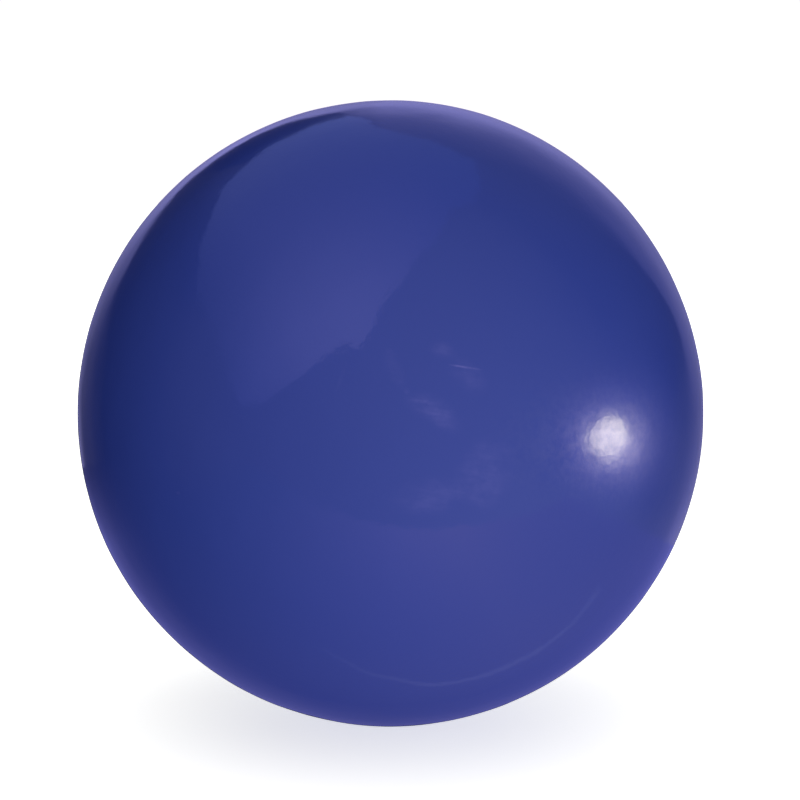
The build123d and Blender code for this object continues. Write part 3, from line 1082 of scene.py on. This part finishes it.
from_middle = np.linspace(LAMP_INNER_PIXELS, LAMP_EDGE_PIXELS, LAMP_RINGS)[:, None, None]
turn = np.linspace(0, 2 * np.pi, LAMP_STEPS, endpoint=False)
lamp_pixels = LAMP_PIXEL + from_middle * np.stack([np.cos(turn), np.sin(turn)], axis=-1)
upper_core = soft_disc(lamp_pixels, LAMP_PIXEL, LAMP_CORE_PIXELS, crispness=8)
lower_core = soft_disc(lamp_pixels, LAMP_LOW_PIXEL, LAMP_CORE_PIXELS, crispness=6)
core = np.maximum(upper_core, LAMP_LOW_LEVEL * lower_core)
skirt = soft_disc(lamp_pixels, LAMP_SKIRT_PIXEL, LAMP_SKIRT_PIXELS, crispness=5)
from_haze = np.linalg.norm(lamp_pixels - LAMP_HAZE_PIXEL, axis=-1, keepdims=True)
haze = np.exp(-((from_haze / LAMP_HAZE_PIXELS) ** 2))
lamp_glow = core * LAMP_CORE_GLOW + skirt * LAMP_SKIRT_GLOW + haze * LAMP_HAZE_GLOW + behind(lamp_pixels)
lamp_facing = seen_on_ball([LAMP_PIXEL])[1][0]
light_card("side_lamp", lamp_pixels, lamp_glow, lamp_facing, LAMP_DISTANCE, wrapped=True)

# %% [markdown]
# ## The walls behind
# Along its rim the ball mirrors what stands behind it, squeezed into a crescent: a pale wall, with a
# crisp edge at the right and at the upper left and a soft one at the top. Modelling a wall and lighting
# it would leave its edges to chance. So two cards follow the rim, and a few knots say, for angles round
# the ball, how far out the card and its glow start, how softly the glow rises and how strong it is.
# Between the panel and the left wall the card is dark before its glow starts, which gives the thin dark
# sliver at the upper left.

# %% Walls: places and strengths
# Each knot: angle, where the card starts, where its glow starts, softness and strength of the glow, and
# how much of what lies behind the card shows before the glow
BACK_WALL = [
    (-30, 0.90, 0.90, 0.08, 0.68, 1),
    (0, 0.92, 0.92, 0.06, 0.36, 1),
    (10, 0.95, 0.95, 0.01, 0.43, 1),
    (20, 0.951, 0.951, 0.003, 0.52, 1),
    (30, 0.924, 0.924, 0.004, 0.58, 1),
    (40, 0.892, 0.892, 0.04, 0.65, 1),
    (55, 0.865, 0.865, 0.09, 0.84, 1),
    (75, 0.85, 0.85, 0.12, 1.02, 1),
    (91, 0.85, 0.85, 0.13, 1.06, 1),
]
LEFT_WALL = [
    (91, 0.85, 0.85, 0.13, 1.06, 1),
    (94, 0.935, 0.895, 0.10, 1.00, 0.5),
    (97, 0.957, 0.94, 0.05, 0.95, 0),
    (100, 0.966, 0.972, 0.010, 0.90, 0),
    (110, 0.949, 0.982, 0.004, 1.10, 0),
    (120, 0.925, 0.982, 0.004, 1.40, 0),
    (130, 0.975, 0.981, 0.004, 1.10, 0),
    (140, 0.970, 0.970, 0.006, 0.80, 0),
    (150, 0.956, 0.956, 0.010, 0.54, 0),
    (160, 0.942, 0.942, 0.02, 0.36, 0),
    (170, 0.92, 0.92, 0.04, 0.22, 0),
    (205, 0.90, 0.90, 0.06, 0.10, 0),
]
print(f"walls follow the rim from {BACK_WALL[0][0]} to {LEFT_WALL[-1][0]} degrees")

# %% Back wall and left wall
RIM_SHARE = 0.9995  # this and the two starts below are shares of the ball's radius
WALL_GLOW = np.array([0.27, 0.26, 0.61])
GAIN_START = 0.95
RIM_GAIN = 1.5
REAR_START = 0.985
REAR_LEVEL = 0.65
ROW_CROWDING = 1.5  # a power above 1 puts the rows closer together at the card's inner edge
BACK_WALL_PLANE = ((0.3, 1, 0.2), 1.6)  # direction that the card stands in, and its distance
LEFT_WALL_PLANE = ((-0.3, 1, 0.2), 1.7)


def wall_card(name, knots, facing, distance, columns, rows):
    """Card along the ball's rim whose glow rises from its edge outwards.

    The rise is a straight ramp, one softness wide. Towards the rim the glow gains some strength, since
    little is left of the skin's own colour there, and at the rim itself it sinks to one level all round.
    """
    turn = np.linspace(knots[0][0], knots[-1][0], columns)
    start, edge, softness, strength, shown = along(turn, knots)
    share = start + np.linspace(0, 1, rows)[:, None] ** ROW_CROWDING * (RIM_SHARE - start)
    pixels = on_outline(turn, share)
    risen = ramp(share, edge, edge + softness)
    wall_level = risen * strength * (1 + (RIM_GAIN - 1) * ramp(share, GAIN_START, 1))
    wall_level += ramp(share, REAR_START, RIM_SHARE) * (REAR_LEVEL - wall_level)
    glow = wall_level[..., None] * WALL_GLOW + ((1 - risen) * shown)[..., None] * behind(pixels)
    light_card(name, pixels, glow, facing, distance)


wall_card("back_wall", BACK_WALL, *BACK_WALL_PLANE, columns=80, rows=24)
wall_card("left_wall", LEFT_WALL, *LEFT_WALL_PLANE, columns=100, rows=40)

# %% [markdown]
# ## The sheet below
# The lower third of the ball mirrors the white sheet that it stands on, from the sheet's front edge,
# which shows as a curve below the middle, to the dim part under the ball. The floor itself could be
# mirrored, but its glow is set for the camera. So a card lies just under the ball. Its glow starts at the
# front edge and fades inwards, then comes up again at the rim. Its colours are set at six angles, warmer
# at the right, where the lamp is. Its left end passes over into what lies behind it, and its right end
# meets the dark drape.

# %% Sheet below
SHEET_FRONT = [  # angle, share of the radius where the front edge shows
    (180, 0.60), (200, 0.47), (216, 0.40), (243, 0.355), (270, 0.347), (300, 0.41), (315, 0.487),
    (333, 0.609), (350, 0.737),
]
SHEET_KNOTS = [  # angle; red, green, blue at the front edge; depth where they end; rim's strength, power
    (190, 0.32, 0.375, 0.50, 0.80, 0.35, 8),
    (205, 0.36, 0.415, 0.55, 0.80, 1.20, 6),
    (235, 0.72, 0.655, 0.85, 0.87, 0.95, 3),
    (270, 1.15, 0.955, 1.40, 0.92, 0.75, 2.5),
    (300, 1.40, 1.075, 1.22, 0.92, 0.95, 2.5),
    (335, 0.62, 0.475, 0.58, 0.92, 1.30, 2.5),
]
SHEET_LIT = [(190, 0), (215, 1)]  # angle, share of the sheet's own glow
SHEET_RIM_GLOW = np.array([0.13, 0.13, 0.43])
SHEET_GAP = 1 * MM
SHEET_ROWS = 21
SHEET_COLUMNS = 58
DOWN = (0, 0, -1)

sheet_turn = np.linspace(SHEET_KNOTS[0][0], SHEET_KNOTS[-1][0], SHEET_COLUMNS)
sheet_front = on_outline(sheet_turn, along(sheet_turn, SHEET_FRONT)[0])
sheet_rim = on_outline(sheet_turn, 0 * sheet_turn + RIM_SHARE)
sheet_pixels = between(sheet_front, sheet_rim, SHEET_ROWS)
inward = np.linspace(0, 1, SHEET_ROWS)[:, None, None]
*front_colour, end_depth, rim_strength, rim_power = along(sheet_turn, SHEET_KNOTS)
front_glow = np.stack(front_colour, axis=-1) * np.clip(1 - inward / end_depth[:, None], 0, None)
rim_glow = inward ** rim_power[:, None] * rim_strength[:, None] * SHEET_RIM_GLOW
lit = along(sheet_turn, SHEET_LIT)[0][:, None]
sheet_glow = lit * front_glow + (1 - lit) * behind(sheet_pixels) + rim_glow
light_card("sheet", sheet_pixels, sheet_glow, DOWN, ball_radius + SHEET_GAP)

# %% [markdown]
# ## The fold in the sheet
# A fold runs across the sheet close under the ball and shows as a thin, pale curve along the bottom. A
# ridge in a mesh would do, but only its lit flank shows, so a narrow strip that glows a little, just
# above the sheet, is enough.

# %% Fold
FOLD_LINE = [(254, 0.78), (265, 0.835), (279, 0.88), (302, 0.895), (320, 0.875)]  # angle, share of radius
FOLD_HALF_WIDTH = 0.005
FOLD_COLUMNS = 40
FOLD_GLOW = np.array([0.36, 0.34, 0.60])

fold_turn = np.linspace(FOLD_LINE[0][0], FOLD_LINE[-1][0], FOLD_COLUMNS)
fold_share = along(fold_turn, FOLD_LINE)[0] + np.array([[-1], [0], [1]]) * FOLD_HALF_WIDTH
fold_pixels = on_outline(fold_turn, fold_share)
light_card("sheet_fold", fold_pixels, FOLD_GLOW, DOWN, ball_radius + SHEET_GAP / 2)

# %% [markdown]
# ## Fill from behind
# The tent's lights stand on the camera's side, so the valve at the back would be in the dark. One more
# light in the tent would show in the gloss along the rim. A plain white card behind the ball lights the
# skin alone, because it is kept out of the gloss.

# %% Fill from behind
FILL_HALF_WIDTH = 0.6
FILL_DISTANCE = 1.2
FILL_GLOW = 1.8

fill_corners = np.array([(-1, -1), (1, -1), (1, 1), (-1, 1)]) * FILL_HALF_WIDTH
fill_points = np.insert(fill_corners, 1, FILL_DISTANCE, axis=1)
# What it gives the eye: soft light on the back of the ball, with no image in the gloss
fill_finish, tree = new_finish("fill_glow")
fill_light = add_node(tree, "Emission", Color=(1, 1, 1, 1), Strength=FILL_GLOW)
add_node(tree, "OutputMaterial", Surface=fill_light)
flat_card("back_fill", fill_points, [range(4)], fill_finish, ("camera", "glossy", "shadow"))
print(f"fill card {2 * FILL_HALF_WIDTH:.1f} m wide, {FILL_DISTANCE:.1f} m behind the ball")
